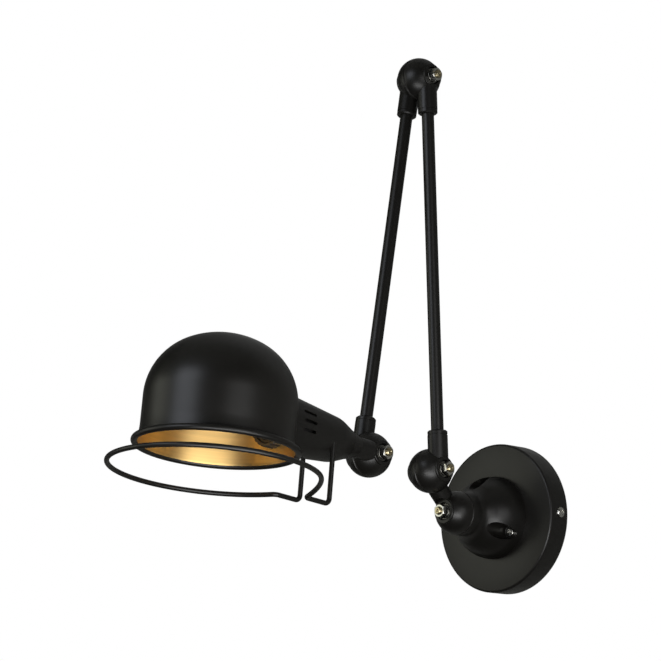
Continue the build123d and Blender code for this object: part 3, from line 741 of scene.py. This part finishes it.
def makeShadeRing():
    # radius over (height, turn): a ring nut whose edge dips between its grip ribs, kept inside the shade
    q = nutRingSize
    a = fullTurn(q["ribs"] * 12)
    outline = rounded([(q["inner"], q["back"], 0), (q["outer"], q["back"], 0),
                       (q["outer"], q["front"], 0.7), (q["inner"], q["front"], 0.3)])
    # the ribs grow from nothing to their full depth over the last part of the ring's face
    out = np.clip((outline[:, :1] - q["ribsFrom"]) / q["ribsOver"], 0, 1)
    ribs = np.clip(np.cos(a * q["ribs"]) * q["ribSteepness"], -1, 1)
    r = outline[:, :1] - q["ribDepth"] / 2 * out * ribs - q["ribDepth"] / 2 * out
    me = gridMesh("shadeRing", [(place(aroundAxis(r, a, outline[:, 1:]) * mm, headFrame), True, True)])
    return smooth(trim(me, shadeSolid("shadeInside", shadeSize["wall"], 0.0), "INTERSECT"), 35)


addPiece(makeHolder(), [blackPhenolic], "head", "black_phenolic", "lampholder_body")
addPiece(makeShell(), [rawBrass], "head", "brass", "lampholder_shell")
addPiece(makeShadeRing(), [blackPhenolic], "head", "black_phenolic", "shade_ring")
print("lamp: lampholder made")

# wire guard: two legs, a level ring, a stretch that droops to the last corner; all one wire
guardSize = dict(wire=1.9, radius=76.7, drop=17.1, legX=16.0, legY=61.5, legTop=-7.0, droopFrom=38.0,
                 droopTilt=18.0, bend=4.2, run=6.0, shadeReach=161.0, shadeDrop=30.8, sides=20)


def bentRuns(points, bend, steps=10):
    # straight runs whose corners are arcs of the bend radius, tangent to both runs
    out = [points[0]]
    for before, corner, after in zip(points[:-2], points[1:-1], points[2:]):
        u, v = (before - corner).normalized(), (after - corner).normalized()
        half = u.angle(v) / 2
        middle = corner + (u + v).normalized() * (bend / math.sin(half))
        start = corner + u * (bend / math.tan(half))
        turn = math.pi - 2 * half
        e1, e2 = (start - middle).normalized(), -u
        for k in range(steps + 1):
            a = turn * k / steps
            out.append(middle + (e1 * math.cos(a) + e2 * math.sin(a)) * bend)
    out.append(points[-1])
    return out


def guardPath():
    q = guardSize
    ringZ = -q["shadeDrop"] - q["drop"]
    centre = Vector((side / mm, -q["shadeReach"], ringZ))
    leftX, rightX = side / mm - q["legX"], side / mm + q["legX"]
    toLeg = math.asin(q["legX"] / math.hypot(q["radius"], q["run"])) + math.atan(q["run"] / q["radius"])
    first = math.radians(90) + toLeg
    last = math.radians(360 + q["droopFrom"])
    level = np.linspace(first, last, 160)
    ring = [centre + Vector((math.cos(a), math.sin(a), 0)) * q["radius"] for a in level]
    kink = ring[0] + Vector((math.sin(first), -math.cos(first), 0)) * q["run"]
    legTop, legFoot = Vector((leftX, -q["legY"], q["legTop"])), Vector((leftX, -q["legY"], ringZ))
    left = bentRuns([legTop, legFoot, kink, ring[0]], q["bend"])
    heading = Vector((-math.sin(last), math.cos(last), 0))
    inward = (centre - ring[-1]).normalized()
    tilt = math.radians(q["droopTilt"])
    lean = inward * math.cos(tilt) + Vector((0, 0, -1)) * math.sin(tilt)

    def droop(a):  # point and heading after a further turn on the ring's radius, in the tilted plane
        point = ring[-1] + lean * q["radius"] * (1 - math.cos(a)) + heading * q["radius"] * math.sin(a)
        return point, heading * math.cos(a) + lean * math.sin(a)

    # the droop ends where one more run reaches the right leg, found by halving
    low, high = math.radians(20), math.radians(60)
    for _ in range(40):
        turn = (low + high) / 2
        point, along = droop(turn)
        low, high = (turn, high) if (point + along * q["run"]).x > rightX else (low, turn)
    drop = [droop(a)[0] for a in np.linspace(0, turn, 30)]
    lastKink = point + along * q["run"]
    legFoot, legTop = Vector((rightX, -q["legY"], lastKink.z)), Vector((rightX, -q["legY"], q["legTop"]))
    right = bentRuns([drop[-1], lastKink, legFoot, legTop], q["bend"])
    return np.array([tuple(p) for p in left[:-1] + ring + drop[1:-1] + right])


def tubeAlong(path, radius, sides):
    # a circle carried along the path, each station's axes turned the least that keeps them square to it
    keep = np.concatenate([[True], np.linalg.norm(np.diff(path, axis=0), axis=1) > 1e-4])
    path = path[keep]
    along = np.gradient(path, axis=0)
    along /= np.linalg.norm(along, axis=1)[:, None]
    u = np.zeros_like(path)
    u[0] = np.cross(along[0], (0.3, 0.9, 0.1))
    for i in range(1, len(path)):
        u[i] = u[i - 1] - along[i] * np.dot(u[i - 1], along[i])
        u[i] /= np.linalg.norm(u[i])
    u[0] /= np.linalg.norm(u[0])
    v = np.cross(along, u)
    a = fullTurn(sides)[..., None]
    tube = path[:, None] + radius * (np.cos(a) * u[:, None] + np.sin(a) * v[:, None])
    caps = np.repeat(path[[0, -1]][:, None], sides, axis=1)
    return np.concatenate([caps[:1], tube, caps[1:]])


def makeGuard():
    points = tubeAlong(guardPath(), guardSize["wire"], guardSize["sides"])
    base = frameMatrix(wristAt, (1, 0, 0), headUp)  # x right, y back along the head, z up
    return smooth(gridMesh("wireGuard", [(place(points * mm, base), False, True)]), 60)


addPiece(makeGuard(), [blackCoat], "head", "black_powder_coat", "wire_guard")
print("lamp: guard made")

# stage, light and camera, metres
stageSize = dict(floorAt=-0.62, floorReach=9.0, floorBack=1.2, floorGlow=0.30)
lampMiddle = (0, -0.18, 0.12)


def seenDirectly(t):  # 1 for rays from the camera, off a gloss or through glass
    path = addNode(t, "ShaderNodeLightPath").outputs
    larger = {"operation": "MAXIMUM"}
    first = addNode(t, "ShaderNodeMath", larger, links={0: path["Is Camera Ray"], 1: path["Is Glossy Ray"]})
    both = addNode(t, "ShaderNodeMath", larger, links={0: first.outputs[0], 1: path["Is Transmission Ray"]})
    return both.outputs[0]


def makeFloor():
    q = stageSize
    u = np.array([-q["floorReach"], q["floorReach"]])
    x, y = np.meshgrid(u, u, indexing="ij")
    grid = np.stack([x, y - q["floorBack"], np.full_like(x, q["floorAt"])], -1)
    me = meshFrom("floor", grid.reshape(-1, 3), gridCells(grid)[:, ::-1])
    m, t = newMaterial("paleFloor")  # painted board, near white, with a glow that lifts it in direct view
    paint = addNode(t, "ShaderNodeBsdfDiffuse", inputs={"Color": srgb("f4f3f1")})
    direct = {"Color": seenDirectly(t)}
    glow = addNode(t, "ShaderNodeEmission", inputs={"Strength": q["floorGlow"]}, links=direct)
    closeMaterial(t, addNode(t, "ShaderNodeAddShader", links={0: paint.outputs[0], 1: glow.outputs[0]}))
    me.materials.append(m)
    linkNew("floor", me)


def makeWorld(level):  # level lights the lamp; the camera and the metal look at white
    w = bpy.data.worlds.new("studio")
    bpy.context.scene.world = w
    w.use_nodes = True
    t = w.node_tree
    t.nodes.clear()
    plain = addNode(t, "ShaderNodeBackground", inputs={"Color": (1, 1, 1, 1), "Strength": level})
    white = addNode(t, "ShaderNodeBackground", inputs={"Color": (1, 1, 1, 1), "Strength": 1.0})
    links = {0: seenDirectly(t), 1: plain.outputs[0], 2: white.outputs[0]}
    mix = addNode(t, "ShaderNodeMixShader", links=links)
    addNode(t, "ShaderNodeOutputWorld", links={"Surface": mix.outputs[0]})


def direction(bearing, lift):  # degrees from straight in front to the right, and degrees up
    b, e = math.radians(bearing), math.radians(lift)
    return Vector((math.sin(b) * math.cos(e), -math.cos(b) * math.cos(e), math.sin(e)))


def softBox(name, bearing, lift, away, size, level, colour="ffffff", target=lampMiddle):
    # a panel turned to the target; level is the panel's own brightness
    outward = direction(bearing, lift)
    d = bpy.data.lights.new(name, "AREA")
    d.shape, d.size, d.size_y = "RECTANGLE", size[0], size[1]
    d.energy = level * math.pi * size[0] * size[1]
    d.color = srgb(colour)[:3]
    o = linkNew(name, d)
    o.location = Vector(target) + away * outward
    o.rotation_euler = (-outward).to_track_quat("-Z", "Y").to_euler()
    o.visible_camera = False


def studioCard(name, bearing, lift, away, size, colour):
    # a cloth screen turned to the lamp, which only darkens what the coat and the metal reflect
    outward = direction(bearing, lift)
    b = math.radians(bearing)
    m = frameMatrix(Vector(lampMiddle) + outward * away, (math.cos(b), math.sin(b), 0), -outward)
    u, v = np.array([-0.5, 0.5]) * size[0], np.array([-0.5, 0.5]) * size[1]
    x, y = np.meshgrid(u, v, indexing="ij")
    grid = place(np.stack([x, y, np.zeros_like(x)], -1), m)
    me = meshFrom(name, grid.reshape(-1, 3), gridCells(grid))
    cloth, t = newMaterial(name + "Cloth")  # matt studio cloth
    closeMaterial(t, addNode(t, "ShaderNodeBsdfDiffuse", inputs={"Color": srgb(colour)}))
    me.materials.append(cloth)
    o = linkNew(name, me)
    for ray in ("camera", "diffuse", "transmission", "shadow"):
        setattr(o, "visible_" + ray, False)


def makeCamera():
    d = bpy.data.cameras.new("camera")
    d.sensor_fit, d.sensor_width = "HORIZONTAL", 36
    d.lens = 2300.44 / 661 * 36  # focal length of 2300.44 px in a 661 px wide picture
    d.clip_start, d.clip_end = 0.05, 20
    o = linkNew("camera", d)
    o.location = (1.23236, -1.39953, -0.23703)
    o.rotation_euler = (math.radians(90 + 11.98), 0, math.radians(45.87))
    bpy.context.scene.camera = o


makeFloor()
makeWorld(0.45)
cards = {-100: "2c2c2a", -45: "74756b", 5: "0c0c0c", 50: "0c0c0c", 100: "141414", 145: "2c2c2a"}
for k, (bearing, colour) in enumerate(cards.items()):
    studioCard("darkCard" + str(k), bearing, 25, 2.3, (2.4, 3.8), colour)
studioCard("darkCardTop", 0, 88, 1.9, (3.4, 3.4), "90908c")
studioCard("darkCardLow", 0, -88, 0.72, (4.6, 4.6), "141414")
studioCard("wallCard", 180, 0, 0.24, (5.0, 3.4), "6e6e6b")
softBox("leftBox", -3, 21, 1.5, (0.85, 0.8), 3.0, "f0f5ff")
softBox("fillBox", -45, 5, 1.6, (0.8, 1.0), 1.3, "f4f5e6")
softBox("rightBox", 72, -1, 1.3, (0.80, 0.6), 1.9)
softBox("lowBox", 60, -32, 0.34, (0.50, 0.17), 7.5, target=(0.02, -0.33, 0.02))
softBox("backBox", -155, 48, 1.5, (1.2, 0.9), 1.6)
makeCamera()
bpy.context.scene.view_settings.view_transform = "Standard"
print("lamp: stage, lights and camera set")
